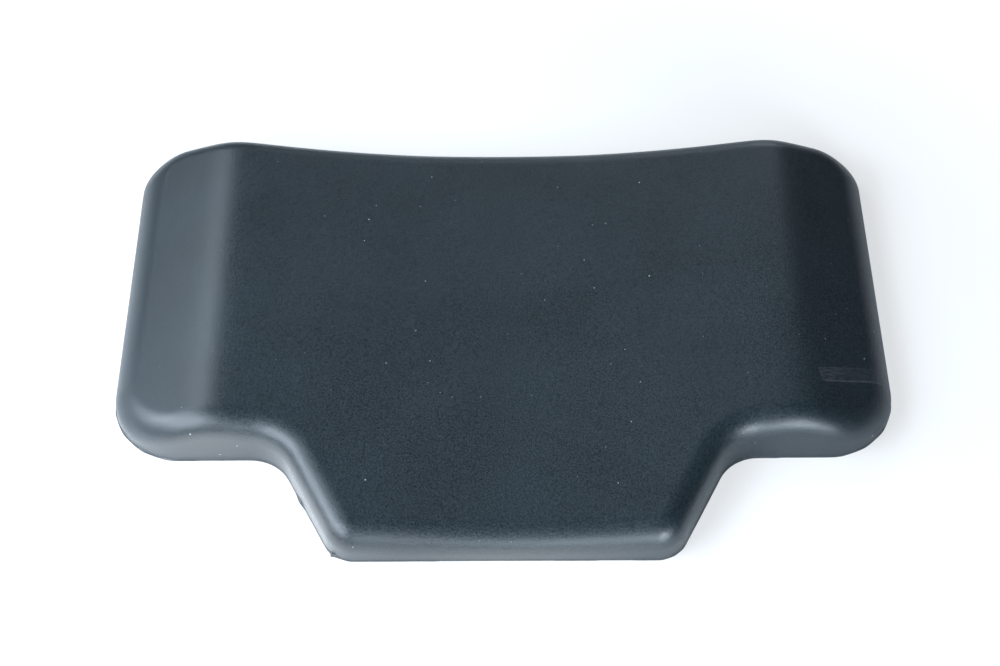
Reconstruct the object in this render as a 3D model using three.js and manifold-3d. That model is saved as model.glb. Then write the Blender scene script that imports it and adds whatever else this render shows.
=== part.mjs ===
// A wide T-shaped armrest pad: an integral-skin foam moulding over a plywood insert that
// carries four threaded tee nuts. Millimetres, +Z up. The pad rests on its flat underside at
// Z = 0 with its wide end toward +Y and its tongue toward -Y, centred on the origin.

import * as THREE from 'three';
import { mergeVertices } from 'three/addons/utils/BufferGeometryUtils.js';
import Module from 'manifold-3d';

const wasm = await Module();
wasm.setup();

// Plan outline of the moulding
const WIDTH = 320;
const LENGTH = 212.4;
const WING_LENGTH = 163.4;
const TONGUE_ROOT_WIDTH = 183.4;
const TONGUE_TIP_WIDTH = 134.4;
const BACK_RADIUS = 20.6;
const WING_RADIUS = 29.6;
const ROOT_RADIUS = 18.4;
const TIP_RADIUS = 13.7;

// Top surface: a shallow trough between two ridges that run from back to front, and wings
// that slope down from the ridges to the side edges
const TROUGH_HEIGHT = 12.8;
const RIDGE_HEIGHT = 25.1;
const RIDGE_X = 119.3;
const WING_EDGE_HEIGHT = 10.9;
const RIDGE_BLEND = 2.13;

// Upper edge: a wall with a little draft, then a quarter round
const EDGE_ROUNDING = 10.7;
const LEAST_WALL = 3.2;
const WALL_DRAFT = 0.03;

// Plywood insert, flush with the underside inside a rim of foam
const BOARD_THICKNESS = 6;
const RIM_WIDTH = 12;
const GAP = 0.3;

// Four M6 tee nuts on a rectangle
const NUT_SPACING_X = 160;
const NUT_SPACING_Y = 80;
const NUT_CENTRE_Y = 24;
const FLANGE_DIAMETER = 19;
const FLANGE_THICKNESS = 1.2;
const BARREL_DIAMETER = 7.8;
const BARREL_RECESS = 0.5;
const THREAD_BORE = 5;
const PRONG_COUNT = 4;
const PRONG_WIDTH = 2.6;
const PRONG_DEPTH = 4;

// Adhesive discs that keep the foam out of the threads
const SEAL_DIAMETER = 22;
const SEAL_THICKNESS = 0.5;

// Holes in the insert that the foam flows through, and so locks itself to the board
const KEY_DIAMETER = 12;
const KEY_HEAD_DIAMETER = 15;
const KEY_HEAD_DEPTH = 1.8;
const KEY_POSITIONS = [
    [-128, 52], [-44, 64], [44, 64], [128, 52],
    [-128, -8], [128, -8], [-44, -40], [44, -40],
];

// Faceting
const ARC_STEP = Math.PI / 10;
const STRAIGHT_STEP = 18;
const ROUNDING_STEPS = 3;
const ROUNDING_END = 0.375 * Math.PI;
const ROUND_SEGMENTS = 24;
const SLOPE_STEP = 15;
const CREST_STEP = 5;
const CREST_BEFORE = 17.5;
const CREST_AFTER = 20;

// Spare reach of cutting solids and of the loft's last loops, and the merging of vertices
const OVERSHOOT = 4;
const SHOULDER_RISE = 1;
const MERGE_DISTANCE = 1e-4;

const BACK_Y = LENGTH / 2;
const WING_Y = BACK_Y - WING_LENGTH;
const TIP_Y = -LENGTH / 2;
const BOARD_TOP = BOARD_THICKNESS;
const FLANGE_BOTTOM = BOARD_TOP + GAP;
const FLANGE_TOP = FLANGE_BOTTOM + FLANGE_THICKNESS;
const SEAL_BOTTOM = FLANGE_TOP + GAP;
const SEAL_TOP = SEAL_BOTTOM + SEAL_THICKNESS;

const FOAM = new THREE.MeshStandardMaterial({ color: 0x252b30, roughness: 0.55, metalness: 0 });
const PLYWOOD = new THREE.MeshStandardMaterial({ color: 0xc8a673, roughness: 0.7, metalness: 0 });
const ZINC = new THREE.MeshStandardMaterial({ color: 0xb8bcc0, roughness: 0.35, metalness: 1 });
const CREPE = new THREE.MeshStandardMaterial({ color: 0xe6dcc0, roughness: 0.85, metalness: 0 });

// Right-hand corners of the plan from back to front, then the same mirrored to the left
function planCorners() {
    const right = [
        { x: WIDTH / 2, y: BACK_Y, radius: BACK_RADIUS },
        { x: WIDTH / 2, y: WING_Y, radius: WING_RADIUS },
        { x: TONGUE_ROOT_WIDTH / 2, y: WING_Y, radius: ROOT_RADIUS },
        { x: TONGUE_TIP_WIDTH / 2, y: TIP_Y, radius: TIP_RADIUS },
    ];
    const left = right.map((corner) => ({ ...corner, x: -corner.x })).reverse();
    return [...right, ...left];
}

// The arc that rounds one corner, as points that each hold their inward normal
function cornerArc(before, corner, after) {
    const vertex = new THREE.Vector2(corner.x, corner.y);
    const toBefore = new THREE.Vector2(before.x, before.y).sub(vertex).normalize();
    const toAfter = new THREE.Vector2(after.x, after.y).sub(vertex).normalize();
    const halfAngle = Math.acos(toBefore.dot(toAfter)) / 2;
    const inside = toBefore.clone().add(toAfter).normalize();
    const centre = vertex.clone().addScaledVector(inside, corner.radius / Math.sin(halfAngle));
    const convex = toBefore.cross(toAfter) > 0;
    const start = toBefore.clone().multiplyScalar(corner.radius / Math.tan(halfAngle)).add(vertex);
    const startAngle = start.sub(centre).angle();
    const sweep = (Math.PI - 2 * halfAngle) * (convex ? -1 : 1);
    const steps = Math.ceil(Math.abs(sweep) / ARC_STEP);
    const points = [];
    for (let i = 0; i <= steps; i += 1) {
        const angle = startAngle + sweep * i / steps;
        const spoke = new THREE.Vector2(Math.cos(angle), Math.sin(angle));
        const point = centre.clone().addScaledVector(spoke, corner.radius);
        points.push({ point, inward: spoke.multiplyScalar(convex ? -1 : 1) });
    }
    return points;
}

// The whole plan outline, clockwise seen from above, with the straights divided evenly
function planOutline() {
    const corners = planCorners();
    const count = corners.length;
    const arcs = corners.map((corner, i) =>
        cornerArc(corners[(i + count - 1) % count], corner, corners[(i + 1) % count]));
    const outline = [];
    arcs.forEach((arc, i) => {
        outline.push(...arc);
        const from = arc[arc.length - 1];
        const to = arcs[(i + 1) % count][0];
        const pieces = Math.ceil(from.point.distanceTo(to.point) / STRAIGHT_STEP);
        for (let k = 1; k < pieces; k += 1) {
            const point = from.point.clone().lerp(to.point, k / pieces);
            outline.push({ point, inward: from.inward.clone() });
        }
    });
    return outline;
}

// Height of the top surface: the lower of trough and wing, with a soft crest between them
function topHeight(x) {
    const distance = Math.abs(x);
    const trough = TROUGH_HEIGHT + (RIDGE_HEIGHT - TROUGH_HEIGHT) * (distance / RIDGE_X) ** 2;
    const fall = (RIDGE_HEIGHT - WING_EDGE_HEIGHT) / (WIDTH / 2 - RIDGE_X);
    const wing = RIDGE_HEIGHT - fall * (distance - RIDGE_X);
    return -RIDGE_BLEND * Math.log(Math.exp(-trough / RIDGE_BLEND) + Math.exp(-wing / RIDGE_BLEND));
}

function insetOutline(outline, inset) {
    return outline.map(({ point, inward }) => point.clone().addScaledVector(inward, inset));
}

// One closed loop of the moulding's edge, at an angle of the quarter round
function roundingLoop(outline, angle) {
    return outline.map(({ point, inward }) => {
        const inset = EDGE_ROUNDING * (1 - Math.cos(angle));
        const height = topHeight(point.x + inward.x * inset);
        const wall = Math.max(height - EDGE_ROUNDING, LEAST_WALL);
        const place = point.clone().addScaledVector(inward, inset + WALL_DRAFT * wall);
        return new THREE.Vector3(place.x, place.y, wall + (height - wall) * Math.sin(angle));
    });
}

// A closed skin through a stack of loops, listed from the bottom up
function loft(loops) {
    const size = loops[0].length;
    const positions = loops.flat().flatMap((vertex) => [vertex.x, vertex.y, vertex.z]);
    const indices = [];
    for (let level = 0; level < loops.length - 1; level += 1) {
        for (let i = 0; i < size; i += 1) {
            const next = (i + 1) % size;
            const low = level * size;
            const high = low + size;
            indices.push(low + i, high + i, low + next);
            indices.push(low + next, high + i, high + next);
        }
    }
    const flat = (loop) => loop.map((vertex) => new THREE.Vector2(vertex.x, vertex.y));
    const top = (loops.length - 1) * size;
    for (const [a, b, c] of THREE.ShapeUtils.triangulateShape(flat(loops[0]), [])) {
        indices.push(a, c, b);
    }
    for (const [a, b, c] of THREE.ShapeUtils.triangulateShape(flat(loops[loops.length - 1]), [])) {
        indices.push(top + a, top + b, top + c);
    }
    const geometry = new THREE.BufferGeometry();
    geometry.setAttribute('position', new THREE.Float32BufferAttribute(positions, 3));
    geometry.setIndex(indices);
    return geometry;
}

function toSolid(geometry) {
    geometry.deleteAttribute('normal');
    geometry.deleteAttribute('uv');
    const merged = mergeVertices(geometry, MERGE_DISTANCE);
    const vertProperties = Float32Array.from(merged.attributes.position.array);
    const triVerts = Uint32Array.from(merged.index.array);
    return new wasm.Manifold(new wasm.Mesh({ numProp: 3, vertProperties, triVerts }));
}

function toMesh(name, solid, material) {
    const { vertProperties, triVerts } = solid.getMesh();
    const geometry = new THREE.BufferGeometry();
    geometry.setAttribute('position', new THREE.BufferAttribute(vertProperties, 3));
    geometry.setIndex(new THREE.BufferAttribute(triVerts, 1));
    geometry.computeVertexNormals();
    const mesh = new THREE.Mesh(geometry, material);
    mesh.name = name;
    return mesh;
}

// A prism on the plan outline, moved inward by an inset, between two heights
function planPrism(inset, bottom, top) {
    const shape = new THREE.Shape(insetOutline(planOutline(), inset));
    const geometry = new THREE.ExtrudeGeometry(shape, { depth: top - bottom, bevelEnabled: false });
    geometry.translate(0, 0, bottom);
    return toSolid(geometry);
}

// A turned solid about a vertical axis, from [radius, height] pairs
function turned(profile, x = 0, y = 0) {
    const points = profile.map(([radius, height]) => new THREE.Vector2(radius, height));
    const geometry = new THREE.LatheGeometry(points, ROUND_SEGMENTS);
    geometry.rotateX(Math.PI / 2);
    geometry.translate(x, y, 0);
    return toSolid(geometry);
}

function disc(diameter, bottom, top, x, y) {
    const radius = diameter / 2;
    return turned([[0, bottom], [radius, bottom], [radius, top], [0, top]], x, y);
}

function nutPositions() {
    const places = [];
    for (const [end, sideY] of [['back', 1], ['front', -1]]) {
        for (const [side, sideX] of [['left', -1], ['right', 1]]) {
            const x = sideX * NUT_SPACING_X / 2;
            const y = NUT_CENTRE_Y + sideY * NUT_SPACING_Y / 2;
            places.push({ name: `${side}_${end}`, x, y });
        }
    }
    return places;
}

// Four prongs under a flange, each a small block that is thicker by a clearance all round
function prongs(x, y, clearance) {
    const radius = (FLANGE_DIAMETER - FLANGE_THICKNESS) / 2 - GAP;
    const top = FLANGE_BOTTOM + FLANGE_THICKNESS / 2;
    const bottom = BOARD_TOP - PRONG_DEPTH - clearance;
    const blocks = [];
    for (let i = 0; i < PRONG_COUNT; i += 1) {
        const block = new THREE.BoxGeometry(
            FLANGE_THICKNESS + 2 * clearance, PRONG_WIDTH + 2 * clearance, top - bottom);
        block.translate(radius, 0, (top + bottom) / 2);
        block.rotateZ((i + 0.5) * 2 * Math.PI / PRONG_COUNT);
        block.translate(x, y, 0);
        blocks.push(toSolid(block));
    }
    return blocks;
}

// The outside of the moulding: lofted past its top, then cut to the top surface
function mouldingBody() {
    const outline = planOutline();
    const highest = RIDGE_HEIGHT + OVERSHOOT;
    const loops = [insetOutline(outline, 0).map(({ x, y }) => new THREE.Vector3(x, y, 0))];
    for (let i = 0; i <= ROUNDING_STEPS; i += 1) {
        loops.push(roundingLoop(outline, ROUNDING_END * i / ROUNDING_STEPS));
    }
    const reach = EDGE_ROUNDING * (1 - Math.cos(ROUNDING_END)) + OVERSHOOT;
    const shoulder = insetOutline(outline, reach);
    loops.push(shoulder.map(({ x, y }) => new THREE.Vector3(x, y, topHeight(x) + SHOULDER_RISE)));
    loops.push(shoulder.map(({ x, y }) => new THREE.Vector3(x, y, highest)));
    return toSolid(loft(loops)).intersect(underTop());
}

// Everything below the top surface, as a front profile drawn straight from back to front
function underTop() {
    const side = WIDTH / 2 + OVERSHOOT;
    const stations = [];
    for (let x = 0; x < RIDGE_X - CREST_BEFORE; x += SLOPE_STEP) {
        stations.push(x);
    }
    for (let x = RIDGE_X - CREST_BEFORE; x <= RIDGE_X + CREST_AFTER; x += CREST_STEP) {
        stations.push(x);
    }
    stations.push(side);
    const half = stations.map((x) => [x, topHeight(x)]);
    const mirrored = half.slice(1).map(([x, z]) => [-x, z]).reverse();
    const profile = [[-side, -OVERSHOOT], ...mirrored, ...half, [side, -OVERSHOOT]];
    const shape = new THREE.Shape(profile.map(([x, z]) => new THREE.Vector2(x, z)));
    const depth = LENGTH + 2 * OVERSHOOT;
    const geometry = new THREE.ExtrudeGeometry(shape, { depth, bevelEnabled: false });
    geometry.rotateX(Math.PI / 2);
    geometry.translate(0, depth / 2, 0);
    return toSolid(geometry);
}

// A keying hole's shape, grown by a clearance; its wider mouth opens at the underside
function keyShape([x, y], clearance, bottom, top) {
    const shank = KEY_DIAMETER / 2 + clearance;
    const head = KEY_HEAD_DIAMETER / 2 + clearance;
    return turned([
        [0, bottom], [head, bottom], [head, 0], [shank, KEY_HEAD_DEPTH], [shank, top], [0, top],
    ], x, y);
}

function foamPad() {
    let pocket = planPrism(RIM_WIDTH - GAP, -OVERSHOOT, BOARD_TOP + GAP);
    for (const place of KEY_POSITIONS) {
        const plug = keyShape(place, -GAP, -2 * OVERSHOOT, BOARD_TOP + OVERSHOOT);
        pocket = pocket.subtract(plug);
    }
    for (const { x, y } of nutPositions()) {
        pocket = pocket.add(disc(SEAL_DIAMETER + 2 * GAP, BOARD_TOP, SEAL_TOP + GAP, x, y));
    }
    return toMesh('foam_pad', mouldingBody().subtract(pocket), FOAM);
}

function insertBoard() {
    let board = planPrism(RIM_WIDTH, 0, BOARD_TOP);
    for (const place of KEY_POSITIONS) {
        board = board.subtract(keyShape(place, 0, -OVERSHOOT, BOARD_TOP + OVERSHOOT));
    }
    for (const { x, y } of nutPositions()) {
        board = board.subtract(disc(BARREL_DIAMETER + 2 * GAP, -OVERSHOOT, BOARD_TOP + OVERSHOOT, x, y));
        for (const slot of prongs(x, y, GAP)) {
            board = board.subtract(slot);
        }
    }
    return toMesh('insert_board', board, PLYWOOD);
}

function teeNut({ name, x, y }) {
    const bore = THREAD_BORE / 2;
    const barrel = BARREL_DIAMETER / 2;
    const flange = FLANGE_DIAMETER / 2;
    let nut = turned([
        [bore, BARREL_RECESS], [barrel, BARREL_RECESS], [barrel, FLANGE_BOTTOM],
        [flange, FLANGE_BOTTOM], [flange, FLANGE_TOP], [bore, FLANGE_TOP], [bore, BARREL_RECESS],
    ], x, y);
    for (const prong of prongs(x, y, 0)) {
        nut = nut.add(prong);
    }
    return toMesh(`tee_nut_${name}`, nut, ZINC);
}

function sealDisc({ name, x, y }) {
    return toMesh(`seal_disc_${name}`, disc(SEAL_DIAMETER, SEAL_BOTTOM, SEAL_TOP, x, y), CREPE);
}

const pad = new THREE.Group();
pad.add(foamPad());
pad.add(insertBoard());
for (const place of nutPositions()) {
    pad.add(teeNut(place));
    pad.add(sealDisc(place));
}

export default pad;
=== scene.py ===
"""A wide T-shaped armrest pad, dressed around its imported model.

The foam moulding is rebuilt as a fine skin with its trimmed parting flash, the tee nuts get
their threads, the insert board and the tape discs their own finishes, and a pale studio
stands around them.
"""

import logging
import math
import random
from contextlib import contextmanager
from dataclasses import dataclass, field
from enum import Enum
from functools import reduce
from typing import Callable, Iterator

import bmesh
import bpy
from mathutils import Matrix, Vector, geometry, kdtree, noise


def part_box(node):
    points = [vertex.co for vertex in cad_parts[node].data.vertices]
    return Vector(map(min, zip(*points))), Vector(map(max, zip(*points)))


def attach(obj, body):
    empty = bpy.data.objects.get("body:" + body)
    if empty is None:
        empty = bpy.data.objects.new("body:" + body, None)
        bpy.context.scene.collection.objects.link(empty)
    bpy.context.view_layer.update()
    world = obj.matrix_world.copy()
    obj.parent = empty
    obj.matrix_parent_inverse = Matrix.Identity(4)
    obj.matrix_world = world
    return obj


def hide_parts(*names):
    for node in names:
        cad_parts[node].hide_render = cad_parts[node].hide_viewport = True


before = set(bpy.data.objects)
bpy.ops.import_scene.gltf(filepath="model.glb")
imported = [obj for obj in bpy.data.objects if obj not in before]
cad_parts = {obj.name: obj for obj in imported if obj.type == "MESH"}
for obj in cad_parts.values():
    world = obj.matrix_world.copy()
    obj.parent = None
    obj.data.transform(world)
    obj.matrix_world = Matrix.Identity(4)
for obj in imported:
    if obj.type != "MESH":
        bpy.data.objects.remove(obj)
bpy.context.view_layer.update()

LOG = logging.getLogger("armrest_pad")
MM = 0.001
BODY = "root"
NUT_PLACES = ("left_back", "right_back", "left_front", "right_front")
NET_SLACK = 1e-7
MERGE_DISTANCE = 0.002 * MM
LEVEL_SLACK = 0.01 * MM
LEVEL_COSINE = 0.99
FLAT_ANGLE = math.radians(1)
SMOOTH_ANGLE = math.radians(35)
BEVEL_ANGLE = math.radians(50)
WIDE_NOISE = (0.3, 0.7)
NARROW_NOISE = (0.35, 0.65)
FINER_GRAIN = 2.7
DUST_RADII = (0.14, 0.36)


class Slot(Enum):
    """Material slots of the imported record."""

    SKIN = "foam_skin"
    PLYWOOD = "plywood"
    ZINC = "zinc_plate"
    CREPE = "crepe_tape"


# ---------------------------------------------------------------- plan and section


@dataclass(frozen=True)
class PlanPoint:
    """One point of the plan outline.

    Args:
        place: Where it is, seen from above.
        inward: The unit direction into the pad.
        run: Its distance along the outline from the first point.
        facet: How far straight trimming cuts round a corner stand clear of the arc.
    """

    place: Vector
    inward: Vector
    run: float
    facet: float


@dataclass(frozen=True)
class PadPlan:
    """The T-shaped outline, with a tangent arc at each corner."""

    wing_length: float = 163.4 * MM
    root_width: float = 183.4 * MM
    tip_width: float = 134.4 * MM
    back_radius: float = 20.6 * MM
    wing_radius: float = 29.6 * MM
    root_radius: float = 18.4 * MM
    tip_radius: float = 13.7 * MM
    arc_step: float = math.radians(4)
    straight_step: float = 2.4 * MM
    cut_angle: float = math.radians(24)
    cut_share: float = 0.45
    least_steps: int = 6
    least_cuts: int = 2

    def corners(self) -> list[tuple[Vector, float]]:
        """The sharp corners and their radii, clockwise from the right of the back edge.

        Returns:
            Pairs of a corner and the radius that rounds it.
        """
        low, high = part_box("foam_pad")
        wing_y = high.y - self.wing_length
        right = [
            (Vector((high.x, high.y)), self.back_radius),
            (Vector((high.x, wing_y)), self.wing_radius),
            (Vector((self.root_width / 2, wing_y)), self.root_radius),
            (Vector((self.tip_width / 2, low.y)), self.tip_radius),
        ]
        left = [(Vector((-place.x, place.y)), radius) for place, radius in reversed(right)]
        return right + left

    def arc(self, before: Vector, corner: Vector, after: Vector, radius: float) -> list[tuple]:
        """Rounds one corner.

        Args:
            before: The corner before it.
            corner: The sharp corner.
            after: The corner after it.
            radius: The radius of the arc.

        Returns:
            Tuples of a place, its inward direction and its facet height.
        """
        to_before = (before - corner).normalized()
        to_after = (after - corner).normalized()
        half = to_before.angle(to_after) / 2
        centre = corner + (to_before + to_after).normalized() * (radius / math.sin(half))
        convex = to_before.cross(to_after) > 0
        start = corner + to_before * (radius / math.tan(half)) - centre
        sweep = (math.pi - 2 * half) * (-1 if convex else 1)
        steps = max(self.least_steps, round(abs(sweep) / self.arc_step))
        cuts = max(self.least_cuts, round(abs(sweep) / self.cut_angle))
        points = []
        for i in range(steps + 1):
            angle = math.atan2(start.y, start.x) + sweep * i / steps
            spoke = Vector((math.cos(angle), math.sin(angle)))
            within = (i / steps * cuts + 0.5) % 1 - 0.5
            lift = radius * (1 / math.cos(within * abs(sweep) / cuts) - 1)
            facet = self.cut_share * lift if convex else 0.0
            points.append((centre + spoke * radius, spoke * (-1 if convex else 1), facet))
        return points

    def outline(self) -> list[PlanPoint]:
        """The whole outline, clockwise seen from above.

        Returns:
            Its points, with the straights divided evenly.
        """
        corners = self.corners()
        count = len(corners)
        arcs = []
        for i, (corner, radius) in enumerate(corners):
            before = corners[i - 1][0]
            after = corners[(i + 1) % count][0]
            arcs.append(self.arc(before, corner, after, radius))
        raw = []
        for i, points in enumerate(arcs):
            raw.extend(points)
            last, inward, _ = points[-1]
            first = arcs[(i + 1) % count][0][0]
            pieces = math.ceil((first - last).length / self.straight_step)
            for k in range(1, pieces):
                raw.append((last.lerp(first, k / pieces), inward, 0.0))
        run = 0.0
        outline = []
        for i, (place, inward, facet) in enumerate(raw):
            if i:
                run += (place - raw[i - 1][0]).length
            outline.append(PlanPoint(place, inward, run, facet))
        return outline


@dataclass(frozen=True)
class PadTop:
    """The top surface: a trough between two ridges, and wings that slope down outside them."""

    trough_height: float = 12.8 * MM
    ridge_height: float = 25.1 * MM
    ridge_x: float = 119.3 * MM
    edge_height: float = 10.9 * MM
    edge_x: float = 160 * MM
    blend: float = 2.13 * MM

    def height(self, x: float) -> float:
        """Height of the top above the underside.

        Args:
            x: Distance to the right of the middle.

        Returns:
            The height at that distance, the same from back to front.
        """
        out = abs(x)
        rise = self.ridge_height - self.trough_height
        trough = self.trough_height + rise * (out / self.ridge_x) ** 2
        fall = (self.ridge_height - self.edge_height) / (self.edge_x - self.ridge_x)
        wing = self.ridge_height - fall * (out - self.ridge_x)
        soft = math.exp(-trough / self.blend) + math.exp(-wing / self.blend)
        return -self.blend * math.log(soft)


@dataclass(frozen=True)
class FlashRest:
    """A rest of flash that the knife left standing."""

    place: tuple[float, float]
    half_width: float
    height: float

    def width(self, point: PlanPoint) -> float:
        """What it adds to the flash at a point of the outline."""
        away = (point.place - Vector(self.place)).length / self.half_width
        return self.height * math.exp(-away * away)


@dataclass
class Flash:
    """The parting flash along the bottom edge, trimmed by hand in straight strokes."""

    base: float = 0.12 * MM
    least_width: float = 0.12 * MM / 3
    stroke_length: tuple[float, float] = (14 * MM, 42 * MM)
    stroke_height: tuple[float, float] = (0.0, 0.22 * MM)
    ripple: float = 0.05 * MM
    ripple_length: float = 3.5 * MM
    ripple_row: float = 0.5
    rests: tuple[FlashRest, ...] = (
        FlashRest((-67.5 * MM, -103 * MM), 0.9 * MM, 1.1 * MM),
        FlashRest((-81.4 * MM, -77.8 * MM), 2.4 * MM, 0.6 * MM),
    )
    seed: int = 11
    strokes: list[tuple[float, float]] = field(default_factory=list)

    def cut(self, length: float) -> None:
        """Lays the trimming strokes end to end.

        Args:
            length: The length of the outline that they cover.
        """
        draw = random.Random(self.seed)
        run = 0.0
        while run < length:
            self.strokes.append((run, draw.uniform(*self.stroke_height)))
            run += draw.uniform(*self.stroke_length)

    def width(self, point: PlanPoint) -> float:
        """How far the flash stands out of the wall.

        Args:
            point: The point of the outline.

        Returns:
            The width there.
        """
        stroke = max((s for s in self.strokes if s[0] <= point.run), default=(0.0, 0.0))
        ripple = noise.noise(Vector((point.run / self.ripple_length, self.ripple_row, self.ripple_row)))
        width = self.base + stroke[1] + point.facet + self.ripple * ripple
        for rest in self.rests:
            width += rest.width(point)
        return max(width, self.least_width)


# ---------------------------------------------------------------- foam moulding


@dataclass
class FoamPad:
    """The integral-skin moulding, as one closed shell around the insert's pocket."""

    plan: PadPlan = field(default_factory=PadPlan)
    top: PadTop = field(default_factory=PadTop)
    flash: Flash = field(default_factory=Flash)
    rounding: float = 10.7 * MM
    rounding_rings: int = 14
    wall_rings: int = 4
    least_wall: float = 3.2 * MM
    draft: float = 0.03
    rim_width: float = 12 * MM
    gap: float = 0.3 * MM
    lip_round: float = 0.25 * MM
    flash_rings: tuple[tuple[float, float], ...] = ((0.0, -0.5), (0.15 * MM, 1.0), (0.5 * MM, 0.9))
    wall_start: float = 0.85 * MM
    grid_step: float = 3.0 * MM
    grid_clearance: float = 0.6
    inner_rings: tuple[float, ...] = (0.8 * MM, 2.0 * MM)
    waviness: float = 0.05 * MM
    wave_length: float = 26 * MM
    key_shank: float = 5.7 * MM
    key_head: float = 7.2 * MM
    key_head_depth: float = 1.8 * MM
    key_places: tuple[tuple[float, float], ...] = (
        (-128, 52), (-44, 64), (44, 64), (128, 52),
        (-128, -8), (128, -8), (-44, -40), (44, -40),
    )
    round_segments: int = 40
    smooth_angle: float = math.radians(38)

    def wave(self, place: Vector) -> float:
        """How far the slightly uneven skin is out of true at a point."""
        return self.waviness * noise.noise(place / self.wave_length)

    def ring(self, outline: list[PlanPoint], inset: float, level: float) -> list[Vector]:
        """A flat ring along the outline.

        Args:
            outline: The plan outline.
            inset: How far inside the outline it runs.
            level: Its height.

        Returns:
            The points of the ring.
        """
        ring = []
        for point in outline:
            place = point.place + point.inward * inset
            ring.append(Vector((place.x, place.y, level)))
        return ring

    def wall_height(self, height: float) -> float:
        """Height of the wall under a top of that height."""
        return max(height - self.rounding, self.least_wall)

    def skin_ring(self, outline: list[PlanPoint], angle: float, rise: float, inset: float) -> list[Vector]:
        """A ring on the wall, on the quarter round above it, or inside that.

        Args:
            outline: The plan outline.
            angle: The angle round the quarter round.
            rise: The share of the wall's height, 1 from the top of the wall on.
            inset: A further distance inward along the top.

        Returns:
            The points of the ring.
        """
        ring = []
        for point in outline:
            inward = self.rounding * (1 - math.cos(angle)) + inset
            height = self.top.height(point.place.x + point.inward.x * inward)
            wall = self.wall_height(height)
            place = point.place + point.inward * (inward + self.draft * wall * rise)
            level = wall * rise + (height - wall) * math.sin(angle)
            level = max(level, self.wall_start + rise * self.least_wall / 2)
            spot = Vector((place.x, place.y, level))
            shift = self.wave(spot) * min(1.0, level / self.rounding)
            spot.z += shift * math.sin(angle)
            spot.xy += point.inward * (shift * math.cos(angle))
            ring.append(spot)
        return ring

    def rings(self, outline: list[PlanPoint]) -> list[list[Vector]]:
        """All rings of the shell, from the pocket's ceiling out, round and up to the top.

        Args:
            outline: The plan outline.

        Returns:
            The rings in order.
        """
        pocket = self.rim_width - self.gap
        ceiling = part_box("insert_board")[1].z + self.gap
        rings = [
            self.ring(outline, pocket, ceiling),
            self.ring(outline, pocket, self.lip_round),
            self.ring(outline, pocket - self.lip_round, 0.0),
            self.ring(outline, pocket / 2, 0.0),
            self.ring(outline, 2 * self.lip_round, 0.0),
        ]
        for level, share in self.flash_rings:
            ring = []
            for point in outline:
                place = point.place - point.inward * (self.flash.width(point) * share)
                ring.append(Vector((place.x, place.y, level)))
            rings.append(ring)
        rings.append(self.ring(outline, 0.0, self.wall_start))
        for i in range(1, self.wall_rings):
            rings.append(self.skin_ring(outline, 0.0, i / self.wall_rings, 0.0))
        for i in range(self.rounding_rings + 1):
            rings.append(self.skin_ring(outline, math.pi / 2 * i / self.rounding_rings, 1.0, 0.0))
        for inset in self.inner_rings:
            rings.append(self.skin_ring(outline, math.pi / 2, 1.0, inset))
        return rings

    def wall(self, shell: bmesh.types.BMesh, stack: list[list[Vector]]) -> list[list]:
        """A wall of four-sided faces through closed rings.

        Args:
            shell: The mesh being built.
            stack: The rings in order, each of as many points.

        Returns:
            The vertices of each ring.
        """
        loops = [[shell.verts.new(point) for point in ring] for ring in stack]
        for low, high in zip(loops, loops[1:]):
            for i in range(len(low)):
                k = (i + 1) % len(low)
                shell.faces.new((low[i], low[k], high[k], high[i]))
        return loops

    def fill_top(self, shell: bmesh.types.BMesh, rim: list) -> None:
        """Closes the shell's top with an even net of points at their true heights.

        Args:
            shell: The mesh being built.
            rim: The vertices of the innermost ring.
        """
        corners = [vertex.co.xy for vertex in rim]
        count = len(corners)
        near = kdtree.KDTree(count)
        for i, corner in enumerate(corners):
            near.insert((corner.x, corner.y, 0.0), i)
        near.balance()
        inner = []
        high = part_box("foam_pad")[1]
        columns = math.ceil(high.x / self.grid_step)
        row_step = self.grid_step * math.sqrt(3) / 2
        rows = math.ceil(high.y / row_step)
        for row in range(-rows, rows + 1):
            for column in range(-columns, columns + 1):
                x = (column + (row % 2) / 2) * self.grid_step
                y = row * row_step
                _, index, away = near.find((x, y, 0.0))
                ahead = corners[(index + 1) % count] - corners[index - 1]
                offset = Vector((x, y)) - corners[index]
                if ahead.cross(offset) < 0 and away > self.grid_step * self.grid_clearance:
                    inner.append(Vector((x, y)))
        edges = [(i, (i + 1) % count) for i in range(count)]
        places, _, faces, sources, _, _ = geometry.delaunay_2d_cdt(corners + inner, edges, [], 1, NET_SLACK)
        vertices = []
        for place, source in zip(places, sources):
            if source and source[0] < count:
                vertices.append(rim[source[0]])
                continue
            spot = Vector((place.x, place.y, self.top.height(place.x)))
            spot.z += self.wave(spot)
            vertices.append(shell.verts.new(spot))
        for face in faces:
            shell.faces.new([vertices[i] for i in face])

    def circle(self, centre: Vector, radius: float, level: float) -> list[Vector]:
        """A level circle, counter-clockwise.

        Args:
            centre: Its centre, seen from above.
            radius: Its radius.
            level: Its height.

        Returns:
            The points of the circle.
        """
        points = []
        for i in range(self.round_segments):
            angle = 2 * math.pi * i / self.round_segments
            spoke = Vector((math.cos(angle), math.sin(angle))) * radius
            points.append(Vector((centre.x + spoke.x, centre.y + spoke.y, level)))
        return points

    def tube(self, shell: bmesh.types.BMesh, stack: list[list[Vector]]) -> list:
        """A round wall through a stack of circles, closed with a face at its far end.

        Args:
            shell: The mesh being built.
            stack: The circles, from the pocket's ceiling to the far end.

        Returns:
            The vertices of the first circle.
        """
        loops = self.wall(shell, stack)
        shell.faces.new(loops[-1])
        return loops[0]

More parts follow.
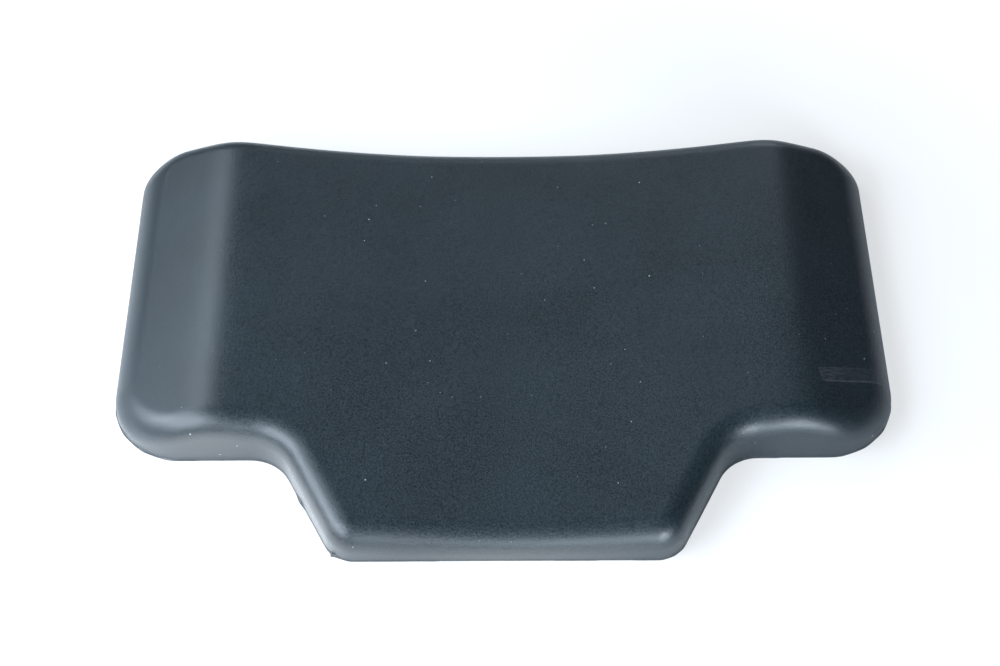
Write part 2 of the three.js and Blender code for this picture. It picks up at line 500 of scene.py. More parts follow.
    def fill_ceiling(self, shell: bmesh.types.BMesh, rim: list) -> None:
        """Closes the pocket, with a plug through each keying hole and a dome over each nut.

        Args:
            shell: The mesh being built.
            rim: The vertices of the pocket's upper edge.
        """
        ceiling = rim[0].co.z
        holes = []
        for x, y in self.key_places:
            centre = Vector((x, y)) * MM
            stack = [
                self.circle(centre, self.key_shank, ceiling),
                self.circle(centre, self.key_shank, self.key_head_depth),
                self.circle(centre, self.key_head, self.lip_round),
                self.circle(centre, self.key_head - self.lip_round, 0.0),
            ]
            holes.append((centre, self.key_shank, self.tube(shell, stack)))
        for name in NUT_PLACES:
            low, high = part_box(f"seal_disc_{name}")
            centre = ((low + high) / 2).xy
            radius = (high.x - low.x) / 2 + self.gap
            stack = [
                self.circle(centre, radius, ceiling),
                self.circle(centre, radius, high.z + self.gap),
            ]
            holes.append((centre, radius, self.tube(shell, stack)))
        border = list(rim)
        edges = [(i, (i + 1) % len(rim)) for i in range(len(rim))]
        for _, _, loop in holes:
            start = len(border)
            border.extend(loop)
            size = len(loop)
            edges.extend((start + i, start + (i + 1) % size) for i in range(size))
        flat = [vertex.co.xy for vertex in border]
        places, _, faces, sources, _, _ = geometry.delaunay_2d_cdt(flat, edges, [], 1, NET_SLACK)
        for face in faces:
            middle = sum((places[i] for i in face), Vector((0.0, 0.0))) / len(face)
            inside = [radius for centre, radius, _ in holes if (middle - centre).length < radius]
            if not inside:
                shell.faces.new([border[sources[i][0]] for i in face])

    def build(self) -> bpy.types.Object:
        """Returns:
            The finished piece.
        """
        outline = self.plan.outline()
        self.flash.cut(outline[-1].run)
        shell = bmesh.new()
        loops = self.wall(shell, self.rings(outline))
        self.fill_top(shell, loops[-1])
        self.fill_ceiling(shell, loops[0])
        bmesh.ops.recalc_face_normals(shell, faces=shell.faces)
        mesh = bpy.data.meshes.new("foam_moulding")
        shell.to_mesh(mesh)
        shell.free()
        pad = new_object("foam_moulding", mesh)
        smooth_by_angle(pad, self.smooth_angle)
        pad.data.materials.append(FoamSkin().material())
        stand_in(pad, "foam_pad")
        return pad


# ---------------------------------------------------------------- shared helpers


def new_object(name: str, data: bpy.types.ID) -> bpy.types.Object:
    """Puts a new object into the scene.

    Args:
        name: Its name.
        data: Its mesh, lamp or camera.

    Returns:
        The object.
    """
    piece = bpy.data.objects.new(name, data)
    bpy.context.scene.collection.objects.link(piece)
    return piece


def stand_in(piece: bpy.types.Object, node: str) -> None:
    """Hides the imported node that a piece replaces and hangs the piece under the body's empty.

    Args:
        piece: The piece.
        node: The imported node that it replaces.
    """
    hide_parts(node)
    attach(piece, BODY)


def deselect_all() -> None:
    """Leaves edit mode and deselects every object."""
    if bpy.context.object and bpy.context.object.mode != "OBJECT":
        bpy.ops.object.mode_set(mode="OBJECT")
    bpy.ops.object.select_all(action="DESELECT")


def make_active(piece: bpy.types.Object) -> None:
    """Selects one object alone and makes it the active one."""
    deselect_all()
    piece.select_set(True)
    bpy.context.view_layer.objects.active = piece


def smooth_by_angle(piece: bpy.types.Object, angle: float) -> None:
    """Shades a piece smooth, except over sharper edges than an angle."""
    make_active(piece)
    bpy.ops.object.shade_smooth_by_angle(angle=angle)
    deselect_all()


def apply_place(piece: bpy.types.Object) -> None:
    """Moves an object's place, turn and scale into its mesh."""
    make_active(piece)
    bpy.ops.object.transform_apply(location=True, rotation=True, scale=True)


def apply_modifier(piece: bpy.types.Object, name: str) -> None:
    """Applies one modifier of a piece."""
    make_active(piece)
    bpy.ops.object.modifier_apply(modifier=name)


def select_faces(piece: bpy.types.Object, chosen: Callable[[bpy.types.MeshPolygon], bool]) -> None:
    """Opens a piece in edit mode with some of its faces selected.

    Args:
        piece: The piece.
        chosen: Whether a face is selected.
    """
    make_active(piece)
    bpy.ops.object.mode_set(mode="EDIT")
    bpy.ops.mesh.select_mode(type="FACE")
    bpy.ops.mesh.select_all(action="DESELECT")
    bpy.ops.object.mode_set(mode="OBJECT")
    for face in piece.data.polygons:
        face.select = chosen(face)
    bpy.ops.object.mode_set(mode="EDIT")


def select_level(piece: bpy.types.Object, level: float) -> None:
    """Opens a piece in edit mode with its level faces at one height selected."""
    select_faces(piece, lambda face: abs(face.normal.z) > LEVEL_COSINE
                 and abs(face.center.z - level) < LEVEL_SLACK)


@contextmanager
def whole_mesh(piece: bpy.types.Object) -> Iterator[None]:
    """Keeps a piece in edit mode with all of its mesh selected."""
    make_active(piece)
    bpy.ops.object.mode_set(mode="EDIT")
    bpy.ops.mesh.select_all(action="SELECT")
    yield
    bpy.ops.object.mode_set(mode="OBJECT")


def recalculate(piece: bpy.types.Object) -> None:
    """Merges a piece's doubles and turns its faces outward."""
    with whole_mesh(piece):
        bpy.ops.mesh.remove_doubles(threshold=MERGE_DISTANCE)
        bpy.ops.mesh.normals_make_consistent(inside=False)


def unite(piece: bpy.types.Object, other: bpy.types.Object) -> None:
    """Makes one solid of two and removes the second."""
    join = piece.modifiers.new("unite", "BOOLEAN")
    join.operation = "UNION"
    join.solver = "EXACT"
    join.object = other
    apply_modifier(piece, join.name)
    bpy.data.objects.remove(other)


def rounded_copy(node: str, name: str, radius: float, finish: bpy.types.Material) -> bpy.types.Object:
    """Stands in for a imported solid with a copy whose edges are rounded.

    Args:
        node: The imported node.
        name: The new piece's name.
        radius: How far its edges are rounded.
        finish: Its material.

    Returns:
        The new piece.
    """
    piece = new_object(name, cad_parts[node].data.copy())
    with whole_mesh(piece):
        bpy.ops.mesh.remove_doubles(threshold=MERGE_DISTANCE)
        bpy.ops.mesh.dissolve_limited(angle_limit=FLAT_ANGLE)
    round_edges(piece, radius)
    piece.data.materials.clear()
    piece.data.materials.append(finish)
    smooth_by_angle(piece, SMOOTH_ANGLE)
    return piece


def round_edges(piece: bpy.types.Object, radius: float) -> None:
    """Rounds a piece's sharp edges."""
    bevel = piece.modifiers.new("edges", "BEVEL")
    bevel.width = radius
    bevel.segments = 2
    bevel.limit_method = "ANGLE"
    bevel.angle_limit = BEVEL_ANGLE
    apply_modifier(piece, bevel.name)


class Sheet:
    """A node tree with short calls to add and join its nodes."""

    def __init__(self, tree: bpy.types.NodeTree) -> None:
        """Holds the tree."""
        self.tree = tree

    def put(self, value: object, socket: bpy.types.NodeSocket) -> None:
        """Links an input to another socket, or sets it.

        Args:
            value: The other socket, or the input's value.
            socket: The input.
        """
        if isinstance(value, bpy.types.NodeSocket):
            self.tree.links.new(value, socket)
        else:
            socket.default_value = value

    def add(self, kind: str, settings: dict | None = None, **values: object) -> bpy.types.Node:
        """Adds a node.

        Args:
            kind: The node's type name.
            settings: Properties of the node itself.
            values: Sockets by name, with spaces as underscores; another socket is linked.

        Returns:
            The new node.
        """
        node = self.tree.nodes.new(kind)
        for name, value in (settings or {}).items():
            setattr(node, name, value)
        for name, value in values.items():
            self.put(value, node.inputs[name.replace("_", " ")])
        return node

    def math(self, operation: str, first: object, second: object = 0.0) -> bpy.types.NodeSocket:
        """A Math node on two numbers or sockets.

        Args:
            operation: The operation's name.
            first: The first number or socket.
            second: The second number or socket.

        Returns:
            The output socket.
        """
        node = self.add("ShaderNodeMath", {"operation": operation})
        for socket, value in zip(node.inputs, (first, second)):
            self.put(value, socket)
        return node.outputs[0]

    def product(self, *values: object) -> bpy.types.NodeSocket:
        """The product of two or more numbers or sockets."""
        return reduce(lambda first, second: self.math("MULTIPLY", first, second), values)

    def cloud(self, place: bpy.types.NodeSocket, scale: object, detail: float,
              **values: object) -> bpy.types.NodeSocket:
        """The value of a Noise Texture at a place, for a scale, a detail and other inputs."""
        node = self.add("ShaderNodeTexNoise", Vector=place, Scale=scale, Detail=detail, **values)
        return node.outputs[0]

    def remap(self, value: bpy.types.NodeSocket, low: float, high: float,
              to_low: float = 0.0, to_high: float = 1.0) -> bpy.types.NodeSocket:
        """A smooth, clamped change of range.

        Args:
            value: The socket to change.
            low: What becomes to_low.
            high: What becomes to_high.
            to_low: The result at low.
            to_high: The result at high.

        Returns:
            The output socket.
        """
        node = self.add("ShaderNodeMapRange", {"interpolation_type": "SMOOTHSTEP"}, Value=value,
                        From_Min=low, From_Max=high, To_Min=to_low, To_Max=to_high)
        return node.outputs["Result"]

    def mix(self, factor: object, first: object, second: object) -> bpy.types.NodeSocket:
        """A mix of two colours.

        Args:
            factor: The share of the second, a number or a socket.
            first: The first colour or socket.
            second: The second colour or socket.

        Returns:
            The mixed colour's socket.
        """
        node = self.add("ShaderNodeMix", {"data_type": "RGBA"})
        for identifier, value in (("Factor_Float", factor), ("A_Color", first), ("B_Color", second)):
            self.put(value, next(s for s in node.inputs if s.identifier == identifier))
        return next(s for s in node.outputs if s.identifier == "Result_Color")


def linear(red: float, green: float, blue: float) -> tuple[float, float, float, float]:
    """A display colour from 0 to 255 as the linear colour that a shader takes."""
    def one(value: float) -> float:
        share = value / 255
        return share / 12.92 if share <= 0.04045 else ((share + 0.055) / 1.055) ** 2.4
    return (one(red), one(green), one(blue), 1.0)


class Finish(Sheet):
    """The nodes of a new material, with its Principled shader and the object's coordinates."""

    def __init__(self, name: str) -> None:
        """Makes the material."""
        self.material = bpy.data.materials.new(name)
        self.material.use_nodes = True
        super().__init__(self.material.node_tree)
        self.tree.nodes.clear()
        self.shader = self.add("ShaderNodeBsdfPrincipled")
        self.add("ShaderNodeOutputMaterial", Surface=self.shader.outputs["BSDF"])
        self.place = self.add("ShaderNodeTexCoord").outputs["Object"]

    def dress(self, **values: object) -> None:
        """Sets or links the shader's inputs, named with underscores for spaces."""
        for name, value in values.items():
            self.put(value, self.shader.inputs[name.replace("_", " ")])

    def relief(self, height: bpy.types.NodeSocket, depth: float) -> None:
        """Raises the surface by a height from 0 to 1, times a depth."""
        bump = self.add("ShaderNodeBump", Height=height, Distance=depth)
        self.dress(Normal=bump.outputs["Normal"])

    def grain(self, cell: float) -> bpy.types.NodeSocket:
        """The height of the shared grain, for a cell size in millimetres."""
        node = self.add("ShaderNodeGroup", {"node_tree": fine_grain()}, Vector=self.place, Cell=cell)
        return node.outputs["Height"]


def new_group(name: str, inputs: dict[str, float],
              output: str) -> tuple[Sheet, bpy.types.Node, bpy.types.Node]:
    """A shader node group of numbers.

    Args:
        name: Its name.
        inputs: Number inputs and their defaults; a Vector input is always there.
        output: Its number output.

    Returns:
        The sheet of nodes and the group's input and output nodes.
    """
    tree = bpy.data.node_groups.new(name, "ShaderNodeTree")
    tree.interface.new_socket("Vector", in_out="INPUT", socket_type="NodeSocketVector")
    for socket, default in inputs.items():
        made = tree.interface.new_socket(socket, in_out="INPUT", socket_type="NodeSocketFloat")
        made.default_value = default
    tree.interface.new_socket(output, in_out="OUTPUT", socket_type="NodeSocketFloat")
    sheet = Sheet(tree)
    return sheet, sheet.add("NodeGroupInput"), sheet.add("NodeGroupOutput")


def fine_grain() -> bpy.types.NodeTree:
    """A pebbled grain of two sizes, made once.

    Returns:
        The group, which puts out Height.
    """
    if "fine_grain" in bpy.data.node_groups:
        return bpy.data.node_groups["fine_grain"]
    sheet, source, sink = new_group("fine_grain", {"Cell": 0.6, "Coarse": 0.5}, "Height")
    place, share = source.outputs["Vector"], source.outputs["Coarse"]
    per_cell = sheet.math("DIVIDE", 1 / MM, source.outputs["Cell"])
    coarse = sheet.product(sheet.cloud(place, per_cell, 2.0), share)
    fine = sheet.cloud(place, sheet.product(per_cell, FINER_GRAIN), 1.0)
    fine = sheet.product(fine, sheet.math("SUBTRACT", 1.0, share))
    sheet.put(sheet.math("ADD", coarse, fine), sink.inputs["Height"])
    return sheet.tree


def dust_specks() -> bpy.types.NodeTree:
    """Scattered pale specks, made once.

    Returns:
        The group, which puts out Mask.
    """
    if "dust_specks" in bpy.data.node_groups:
        return bpy.data.node_groups["dust_specks"]
    sheet, source, sink = new_group("dust_specks", {"Spacing": 6.0, "Share": 0.3}, "Mask")
    spacing = source.outputs["Spacing"]
    scale = sheet.math("DIVIDE", 1 / MM, spacing)
    cells = sheet.add("ShaderNodeTexVoronoi", Vector=source.outputs["Vector"], Scale=scale)
    parts = sheet.add("ShaderNodeSeparateColor", Color=cells.outputs["Color"])
    away = sheet.product(cells.outputs["Distance"], spacing)
    radius = sheet.remap(parts.outputs["Green"], 0.0, 1.0, *DUST_RADII)
    dot = sheet.math("LESS_THAN", away, radius)
    chosen = sheet.math("LESS_THAN", parts.outputs["Red"], source.outputs["Share"])
    sheet.put(sheet.product(dot, chosen, parts.outputs["Blue"]), sink.inputs["Mask"])
    return sheet.tree


# ---------------------------------------------------------------- finishes


@dataclass(frozen=True)
class TapeMark:
    """The faint film that a strip of tape left on the right wing."""

    centre: tuple[float, float] = (141.3 * MM, -28.3 * MM)
    half_length: float = 13.3 * MM
    half_width: float = 3.6 * MM
    turn: float = math.radians(12.5)
    lowest: float = 10 * MM
    end_reach: float = 1.02
    side_reach: float = 1.05
    least_inside: float = 0.001
    falloff: float = 3.0
    smear_scale: float = 3.5
    streaks: tuple[float, float] = (0.4, 0.62)
    fade: tuple[float, ...] = (0.1, -0.5, 0.35, 1.0)
    breaks: tuple[float, ...] = (0.35, 0.5, 0.3, 1.0)
    film: float = 0.4
    least_film: float = 0.1
    rim: float = 0.8
    rim_share: float = 0.16
    front_rim: float = -0.9
    back_rim: float = 0.92
    back_rim_share: float = 0.4

    def band(self, sheet: Sheet, value: bpy.types.NodeSocket, middle: float,
             half: float) -> bpy.types.NodeSocket:
        """The mask of a soft line where a coordinate is less than a half width from a middle."""
        away = sheet.math("ABSOLUTE", sheet.math("SUBTRACT", value, middle))
        return sheet.remap(away, half, half / self.falloff)

    def mask(self, sheet: Sheet, place: bpy.types.NodeSocket) -> bpy.types.NodeSocket:
        """Where the film lies.

        Args:
            sheet: The material's sheet.
            place: The coordinates.

        Returns:
            The mask, from 0 to 1.
        """
        scale = (self.half_length, self.half_width, 1.0)
        local = sheet.add("ShaderNodeMapping", {"vector_type": "TEXTURE"}, Vector=place,
                          Location=(*self.centre, 0.0), Rotation=(0.0, 0.0, self.turn), Scale=scale)
        parts = sheet.add("ShaderNodeSeparateXYZ", Vector=local.outputs[0])
        along, across = parts.outputs["X"], parts.outputs["Y"]
        within = sheet.product(self.band(sheet, along, 0.0, self.end_reach),
                               self.band(sheet, across, 0.0, self.side_reach))
        inside = sheet.math("GREATER_THAN", within, self.least_inside)
        smear = sheet.cloud(local.outputs[0], self.smear_scale, 3.0)
        film = sheet.product(sheet.remap(smear, *self.streaks), sheet.remap(along, *self.fade), self.film)
        back = sheet.product(self.band(sheet, across, self.back_rim, self.rim_share), self.back_rim_share)
        rims = sheet.math("ADD", self.band(sheet, across, self.front_rim, self.rim_share), back)
        rims = sheet.product(rims, sheet.remap(smear, *self.breaks), self.rim)
        both = sheet.math("MAXIMUM", sheet.math("ADD", film, self.least_film), rims)
        height = sheet.add("ShaderNodeSeparateXYZ", Vector=place).outputs["Z"]
        above = sheet.math("GREATER_THAN", height, self.lowest)
        return sheet.product(both, inside, above)


@dataclass(frozen=True)
class FoamSkin:
    """Near-black blue-grey moulded skin with a satin face, a fine grain and a little dust."""

    deep: tuple[float, ...] = linear(1, 9, 15)
    lighter: tuple[float, ...] = linear(26, 36, 41)
    dust: tuple[float, ...] = linear(128, 138, 146)
    tape: tuple[float, ...] = linear(62, 63, 66)
    roughness: tuple[float, float] = (0.34, 0.5)
    cloud: float = 45 * MM
    grain_cell: float = 0.8
    grain_depth: float = 0.09 * MM
    grain_share: float = 0.75
    dust_spacing: float = 5.5
    dust_share: float = 0.5

    def material(self) -> bpy.types.Material:
        """Builds the finish.

        Returns:
            The material.
        """
        finish = Finish("foam_skin")
        grain = finish.grain(self.grain_cell)
        bloom = finish.product(finish.remap(grain, *NARROW_NOISE), self.grain_share)
        clouds = finish.remap(finish.cloud(finish.place, 1 / self.cloud, 3.0), *WIDE_NOISE)
        clouds = finish.product(clouds, 1 - self.grain_share)
        colour = finish.mix(finish.math("ADD", bloom, clouds), self.deep, self.lighter)
        colour = finish.mix(TapeMark().mask(finish, finish.place), colour, self.tape)
        dust = finish.add("ShaderNodeGroup", {"node_tree": dust_specks()}, Vector=finish.place,
                          Spacing=self.dust_spacing, Share=self.dust_share)
        colour = finish.mix(dust.outputs["Mask"], colour, self.dust)
        finish.dress(Base_Color=colour, Roughness=finish.remap(grain, *WIDE_NOISE, *self.roughness))
        finish.relief(grain, self.grain_depth)
        return finish.material


@dataclass(frozen=True)
class ZincPlate:
    """Bright zinc on steel, with a faint cloudy bloom."""

    bright: tuple[float, ...] = linear(206, 208, 210)
    bloom: tuple[float, ...] = linear(186, 186, 182)
    roughness: tuple[float, float] = (0.2, 0.4)
    cloud: float = 3 * MM
    grain_cell: float = 0.25
    grain_depth: float = 0.006 * MM

    def material(self) -> bpy.types.Material:
        """Builds the finish.

        Returns:
            The material.
        """
        finish = Finish("zinc_plate")
        cloud = finish.cloud(finish.place, 1 / self.cloud, 4.0)
        tone = finish.mix(finish.remap(cloud, *NARROW_NOISE), self.bright, self.bloom)
        rough = finish.remap(cloud, *WIDE_NOISE, *self.roughness)
        finish.dress(Base_Color=tone, Roughness=rough, Metallic=1.0)
        finish.relief(finish.grain(self.grain_cell), self.grain_depth)
        return finish.material


@dataclass(frozen=True)
class BirchPly:
    """Birch plywood: crossed veneers, long grain and darker glue lines."""

    pale: tuple[float, ...] = linear(214, 188, 146)
    tan: tuple[float, ...] = linear(176, 142, 98)
    glue: tuple[float, ...] = linear(96, 68, 42)
    veneer: float = 1.2 * MM
    glue_share: float = 0.08
    fibre: float = 1.1 * MM
    stretch: float = 28.0
    waver: float = 0.4
    roughness: tuple[float, float] = (0.62, 0.76)
    pore_share: float = 0.3
    grain_depth: float = 0.03 * MM

    def grain(self, finish: Finish, scale: tuple[float, float, float]) -> bpy.types.NodeSocket:
        """The height of grain drawn out along one axis, for the scale along each."""
        drawn = finish.add("ShaderNodeMapping", Vector=finish.place, Scale=scale)
        return finish.cloud(drawn.outputs[0], 1 / self.fibre, 4.0, Distortion=self.waver)

    def material(self) -> bpy.types.Material:
        """Builds the finish.

        Returns:
            The material.
        """
        finish = Finish("birch_ply")
        level = finish.add("ShaderNodeSeparateXYZ", Vector=finish.place).outputs["Z"]
        layer = finish.math("DIVIDE", level, self.veneer)
        crossed = finish.math("GREATER_THAN", finish.math("PINGPONG", layer, 1.0), 0.5)
        across = finish.product(crossed, self.grain(finish, (1.0, 1 / self.stretch, 1.0)))
        along = finish.product(finish.math("SUBTRACT", 1.0, crossed),
                               self.grain(finish, (1 / self.stretch, 1.0, 1.0)))
        fibre = finish.math("ADD", across, along)
        wood = finish.mix(finish.remap(fibre, *WIDE_NOISE), self.pale, self.tan)
        edge = finish.math("PINGPONG", layer, 0.5)
        seam = finish.math("GREATER_THAN", edge, 0.5 - self.glue_share / 2)
        rough = finish.remap(fibre, *WIDE_NOISE, *self.roughness)
        finish.dress(Base_Color=finish.mix(seam, wood, self.glue), Roughness=rough)
        pores = finish.product(finish.grain(self.fibre / MM), self.pore_share)
        finish.relief(finish.math("ADD", fibre, pores), self.grain_depth)
        return finish.material


@dataclass(frozen=True)
class CrepeTape:
    """Cream crepe paper with fine parallel wrinkles, darker in their hollows with painted shade."""

    cream: tuple[float, ...] = linear(228, 217, 186)
    # the darker cream painted into the hollows of the wrinkles: painted shade
    shade: tuple[float, ...] = linear(203, 188, 152)
    wrinkle: float = 0.7 * MM
    drawn_out: float = 0.12
    roughness: float = 0.82
    depth: float = 0.05 * MM

    def material(self) -> bpy.types.Material:
        """Builds the finish.

        Returns:
            The material.
        """
        finish = Finish("crepe_tape")
        drawn = finish.add("ShaderNodeMapping", Vector=finish.place, Scale=(1.0, self.drawn_out, 1.0))
        wrinkles = finish.cloud(drawn.outputs[0], 1 / self.wrinkle, 3.0)
        # the colour darkens towards the hollows of the wrinkles: painted shade in the creases
        tone = finish.mix(finish.remap(wrinkles, *NARROW_NOISE), self.shade, self.cream)
        finish.dress(Base_Color=tone, Roughness=self.roughness)
        finish.relief(wrinkles, self.depth)
        return finish.material


# ---------------------------------------------------------------- insert and hardware


@dataclass
class TeeNut:
    """A pronged tee nut with a full thread; one is modelled and the others are its copies."""

    flange_thickness: float = 1.2 * MM
    barrel_radius: float = 3.9 * MM
    thread_root: float = 3.0 * MM
    thread_crest: float = 2.5 * MM
    pitch: float = 1.0 * MM
    thread_spread: float = 1.4
    overlap: float = 0.05 * MM
    edge_round: float = 0.12 * MM
    prong_width: float = 2.6 * MM
    prong_thickness: float = 1.2 * MM
    prong_inset: float = 0.9 * MM
    prong_length: float = 4.4 * MM
    prong_tip: float = 0.25
    prongs: int = 4
    sides: int = 64

    def __post_init__(self) -> None:
        """Takes the place and size of the first packed nut."""
        self.low, self.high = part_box(f"tee_nut_{NUT_PLACES[0]}")
        self.middle = (self.low + self.high) / 2
        self.flange = (self.high.x - self.low.x) / 2

    def spin_flange(self) -> bpy.types.Object:
        """Models the flange, the barrel and the bore.

        Returns:
            The nut without its prongs.
        """
        under = self.high.z - self.flange_thickness
        deselect_all()
        bpy.ops.mesh.primitive_cylinder_add(
            vertices=self.sides, radius=self.flange, depth=self.flange_thickness,
            location=(self.middle.x, self.middle.y, self.high.z - self.flange_thickness / 2))
        nut = bpy.context.object
        apply_place(nut)
        select_level(nut, under)
        bpy.ops.mesh.inset(thickness=self.flange - self.barrel_radius)
        bpy.ops.mesh.extrude_region_move(TRANSFORM_OT_translate={"value": (0, 0, self.low.z - under)})
        bpy.ops.mesh.inset(thickness=self.barrel_radius - self.thread_root)
        bpy.ops.object.mode_set(mode="OBJECT")
        select_level(nut, self.high.z)
        bpy.ops.mesh.inset(thickness=self.flange - self.thread_root)
        bpy.ops.object.mode_set(mode="OBJECT")
        select_faces(nut, lambda face: len(face.vertices) == self.sides)
        bpy.ops.mesh.bridge_edge_loops()
        bpy.ops.object.mode_set(mode="OBJECT")
        return nut

    def add_prongs(self, nut: bpy.types.Object) -> None:
        """Joins the pointed prongs to the underside of the flange.

        Args:
            nut: The nut.
        """
        under = self.high.z - self.flange_thickness / 2
        out = self.middle.x + self.flange - self.prong_inset
        deselect_all()
        bpy.ops.mesh.primitive_cube_add(
            size=1, location=(out, self.middle.y, under - self.prong_length / 2),
            scale=(self.prong_thickness, self.prong_width, self.prong_length))
        prong = bpy.context.object
        apply_place(prong)
        select_level(prong, under - self.prong_length)
        tip = Vector((out, self.middle.y, 0))
        bpy.ops.transform.resize(value=(self.prong_tip, self.prong_tip, 1), center_override=tip)
        bpy.ops.mesh.select_all(action="SELECT")
        axis = (self.middle.x, self.middle.y, 0)
        step = 2 * math.pi / self.prongs
        bpy.ops.transform.rotate(value=step / 2, orient_axis="Z", center_override=axis)
        copies = self.prongs - 1
        bpy.ops.mesh.spin(steps=copies, dupli=True, angle=copies * step, center=axis, axis=(0, 0, 1))
        bpy.ops.object.mode_set(mode="OBJECT")
        recalculate(prong)
        unite(nut, prong)

    def add_thread(self, nut: bpy.types.Object) -> None:
        """Joins a helical ridge to the wall of the bore.

        Args:
            nut: The nut.
        """
        length = self.high.z - self.low.z
        turns = math.floor(length / self.pitch) - 1
        start = self.low.z + (length - turns * self.pitch) / 2
        depth = self.thread_root - self.thread_crest
        # a triangle's corners are two thirds of its height from its middle
        reach = (depth + self.overlap) * 2 / 3
        deselect_all()
        bpy.ops.mesh.primitive_circle_add(
            vertices=3, radius=reach, fill_type="NGON", scale=(self.thread_spread, 1, 1),
            location=(self.thread_crest + reach, 0, 0), rotation=(math.pi / 2, -math.pi / 2, 0))
        ridge = bpy.context.object
        apply_place(ridge)
        screw = ridge.modifiers.new("thread", "SCREW")
        screw.axis = "Z"
        screw.angle = 2 * math.pi
        screw.screw_offset = self.pitch
        screw.iterations = turns
        screw.steps = screw.render_steps = self.sides // 2
        screw.use_merge_vertices = False
        apply_modifier(ridge, screw.name)
        ridge.location = (self.middle.x, self.middle.y, start)
        apply_place(ridge)
        with whole_mesh(ridge):
            bpy.ops.mesh.fill_holes(sides=3)
        recalculate(ridge)
        make_active(nut)
        ridge.select_set(True)
        bpy.ops.object.join()

    def build(self) -> list[bpy.types.Object]:
        """Builds all the nuts.

        Returns:
            The pieces, in the order of the places.
        """
        model = self.spin_flange()
        self.add_prongs(model)
        round_edges(model, self.edge_round)
        self.add_thread(model)
        model.data.materials.clear()
        model.data.materials.append(ZincPlate().material())
        pieces = []
        for name in NUT_PLACES:
            piece = model
            if pieces:
                piece = new_object("nut", model.data.copy())
                piece.data.transform(Matrix.Translation(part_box(f"tee_nut_{name}")[0] - self.low))
            piece.name = f"threaded_tee_nut_{name}"
            smooth_by_angle(piece, SMOOTH_ANGLE)
            stand_in(piece, f"tee_nut_{name}")
            pieces.append(piece)
        return pieces


@dataclass(frozen=True)
class InsertBoard:
    """The plywood board inside the moulding, with its cut edges eased."""

    edge_round: float = 0.25 * MM

    def build(self) -> bpy.types.Object:
        """Builds the board.

        Returns:
            The finished piece.
        """
        board = rounded_copy("insert_board", "plywood_board", self.edge_round, BirchPly().material())
        stand_in(board, "insert_board")
        return board


@dataclass(frozen=True)
class SealDiscs:
    """The crepe-paper discs that keep foam out of the nuts."""

    edge_round: float = 0.12 * MM

    def build(self) -> list[bpy.types.Object]:
        """Builds the discs.

        Returns:
            The pieces, in the order of the places.
        """
        crepe = CrepeTape().material()
        discs = []
        for name in NUT_PLACES:
            disc = rounded_copy(f"seal_disc_{name}", f"crepe_disc_{name}", self.edge_round, crepe)
            stand_in(disc, f"seal_disc_{name}")
            discs.append(disc)
        return discs


# ---------------------------------------------------------------- studio


@dataclass(frozen=True)
class SoftBox:
    """A rectangular lamp that faces the pad."""

    name: str
    azimuth: float
    elevation: float
    distance: float
    width: float
    height: float
    power: float

    def build(self, colour: tuple[float, float, float]) -> None:
        """Hangs the lamp.

        Args:
            colour: The colour of its light.
        """
        lamp = bpy.data.lights.new(self.name, "AREA")
        lamp.shape = "RECTANGLE"
        lamp.size = self.width
        lamp.size_y = self.height
        lamp.energy = self.power
        lamp.color = colour
        around = math.radians(self.azimuth)
        up = math.radians(self.elevation)
        away = Vector((math.sin(around) * math.cos(up), math.cos(around) * math.cos(up), math.sin(up)))
        piece = new_object(self.name, lamp)
        piece.location = away * self.distance
        piece.rotation_euler = away.to_track_quat("Z", "Y").to_euler()
        piece.visible_camera = False


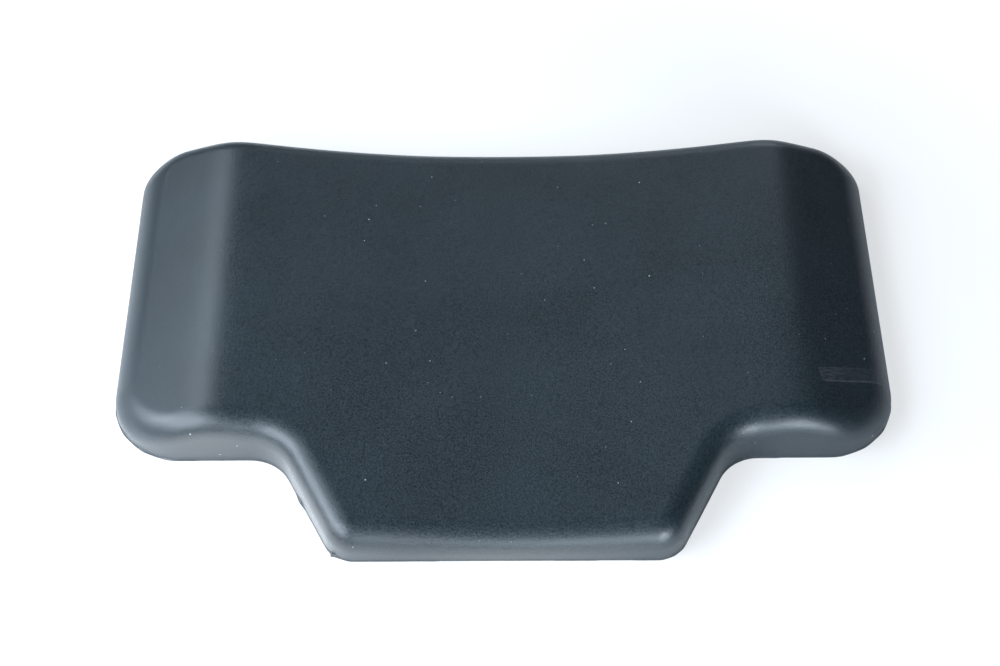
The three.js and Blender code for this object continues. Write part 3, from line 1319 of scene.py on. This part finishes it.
@dataclass(frozen=True)
class Studio:
    """A pale sweep, a bank of soft lamps on the left and the camera."""

    floor_size: float = 8.0
    floor_colour: tuple[float, ...] = linear(240, 240, 241)
    floor_seen: tuple[float, ...] = (0.3, 0.3, 0.3, 1.0)
    floor_roughness: float = 0.9
    floor_glow: float = 0.55
    sweep_glow: float = 0.98
    sweep_start: float = 0.16
    sweep_end: float = 0.46
    light_colour: tuple[float, float, float] = (0.82, 0.935, 1.05)
    room_light: float = 0.075
    backdrop: float = 0.98
    pools: tuple[tuple[tuple[float, float], float, float], ...] = (
        ((-0.13, -0.11), 0.10, 3.9),
        ((0.0, -0.15), 0.11, 2.7),
        ((0.13, -0.11), 0.10, 0.13),
    )
    lens: float = 76.28
    sensor: float = 36.0
    clip_start: float = 50 * MM
    pitch: float = math.radians(50.69)
    distance: float = 900.6 * MM
    aim_x: float = -0.34 * MM
    aim_behind_edge: float = -97.35 * MM
    yaw: float = math.radians(0.56)
    roll: float = math.radians(0.17)
    lamps: tuple[SoftBox, ...] = (
        SoftBox("left_near", -100, 48, 0.48, 0.26, 0.26, 0.48),
        SoftBox("left_front", -133, 34, 0.47, 0.24, 0.24, 2.55),
        SoftBox("left", -98, 34, 0.75, 0.36, 0.30, 5.0),
        SoftBox("left_low", -85, 22, 0.80, 0.50, 0.14, 2.27),
        SoftBox("back_left", -46, 43, 0.75, 0.36, 0.26, 2.55),
        SoftBox("back_low", 15, 24, 0.80, 0.30, 0.20, 1.10),
        SoftBox("front_middle", 160, 19.5, 0.70, 0.32, 0.22, 6.3),
        SoftBox("front_left", -150, 26, 0.70, 0.30, 0.20, 0.85),
    )

    def near(self, paper: Finish, centre: tuple[float, float], start: float,
             end: float) -> bpy.types.NodeSocket:
        """A smooth change with the distance from a point of the floor.

        Args:
            paper: The floor's finish.
            centre: The point.
            start: The distance where the result is 0.
            end: The distance where the result is 1.

        Returns:
            The result's socket.
        """
        away = paper.add("ShaderNodeVectorMath", {"operation": "DISTANCE"})
        paper.put(paper.place, away.inputs[0])
        paper.put((*centre, 0.0), away.inputs[1])
        return paper.remap(away.outputs["Value"], start, end)

    def floor(self) -> None:
        """Lays the pale floor, which glows further out and throws light up at the front walls.

        The camera sees a darker paper with a glow of its own, so that its shadows stay pale.
        """
        deselect_all()
        bpy.ops.mesh.primitive_plane_add(size=self.floor_size, location=(0, 0, 0))
        floor = bpy.context.object
        floor.name = "floor"
        paper = Finish("pale_paper")
        seen = paper.add("ShaderNodeLightPath").outputs["Is Camera Ray"]
        glow = self.near(paper, (0.0, 0.0), self.sweep_start, self.sweep_end)
        glow = paper.math("ADD", paper.product(glow, self.sweep_glow - self.floor_glow), self.floor_glow)
        bounce = 0.0
        for centre, radius, strength in self.pools:
            pool = paper.product(self.near(paper, centre, radius, 0.0), strength)
            bounce = paper.math("ADD", bounce, pool)
        unseen = paper.product(paper.math("SUBTRACT", 1.0, seen), bounce)
        paper.dress(Base_Color=paper.mix(seen, self.floor_colour, self.floor_seen),
                    Roughness=self.floor_roughness, Emission_Color=(1.0, 1.0, 1.0, 1.0),
                    Emission_Strength=paper.math("ADD", paper.product(seen, glow), unseen))
        floor.data.materials.append(paper.material)
        deselect_all()

    def sky(self) -> None:
        """Sets the dim even light of the room and the pale backdrop behind it."""
        world = bpy.data.worlds.new("room")
        world.use_nodes = True
        sheet = Sheet(world.node_tree)
        background = world.node_tree.nodes["Background"]
        seen = sheet.add("ShaderNodeLightPath").outputs["Is Camera Ray"]
        room = tuple(self.room_light * part for part in self.light_colour) + (1.0,)
        pale = (self.backdrop, self.backdrop, self.backdrop, 1.0)
        sheet.put(sheet.mix(seen, room, pale), background.inputs["Color"])
        background.inputs["Strength"].default_value = 1.0
        bpy.context.scene.world = world

    def camera(self) -> None:
        """Puts up the camera, above and in front of the tongue."""
        data = bpy.data.cameras.new("camera")
        data.sensor_width = self.sensor
        data.lens = self.lens
        data.clip_start = self.clip_start
        camera = new_object("camera", data)
        edge = Matrix.Translation((0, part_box("foam_pad")[1].y, 0)) @ Matrix.Rotation(-self.yaw, 4, "Z")
        aim = Matrix.Translation((self.aim_x, self.aim_behind_edge, 0))
        tilt = Matrix.Rotation(math.pi / 2 - self.pitch, 4, "X")
        back = Matrix.Translation((0, 0, self.distance)) @ Matrix.Rotation(self.roll, 4, "Z")
        camera.matrix_world = edge @ aim @ tilt @ back
        bpy.context.scene.camera = camera

    def build(self) -> None:
        """Sets up the whole studio."""
        self.camera()
        self.sky()
        self.floor()
        for lamp in self.lamps:
            lamp.build(self.light_colour)
        bpy.context.scene.view_settings.view_transform = "Standard"


def main() -> None:
    """Builds the studio and every piece, and reports each."""
    logging.basicConfig(level=logging.INFO, format="%(message)s")
    Studio().build()
    pieces = [FoamPad().build(), InsertBoard().build(), *TeeNut().build(), *SealDiscs().build()]
    for piece in pieces:
        LOG.info("%s: %d faces", piece.name, len(piece.data.polygons))


if __name__ == "__main__":
    main()
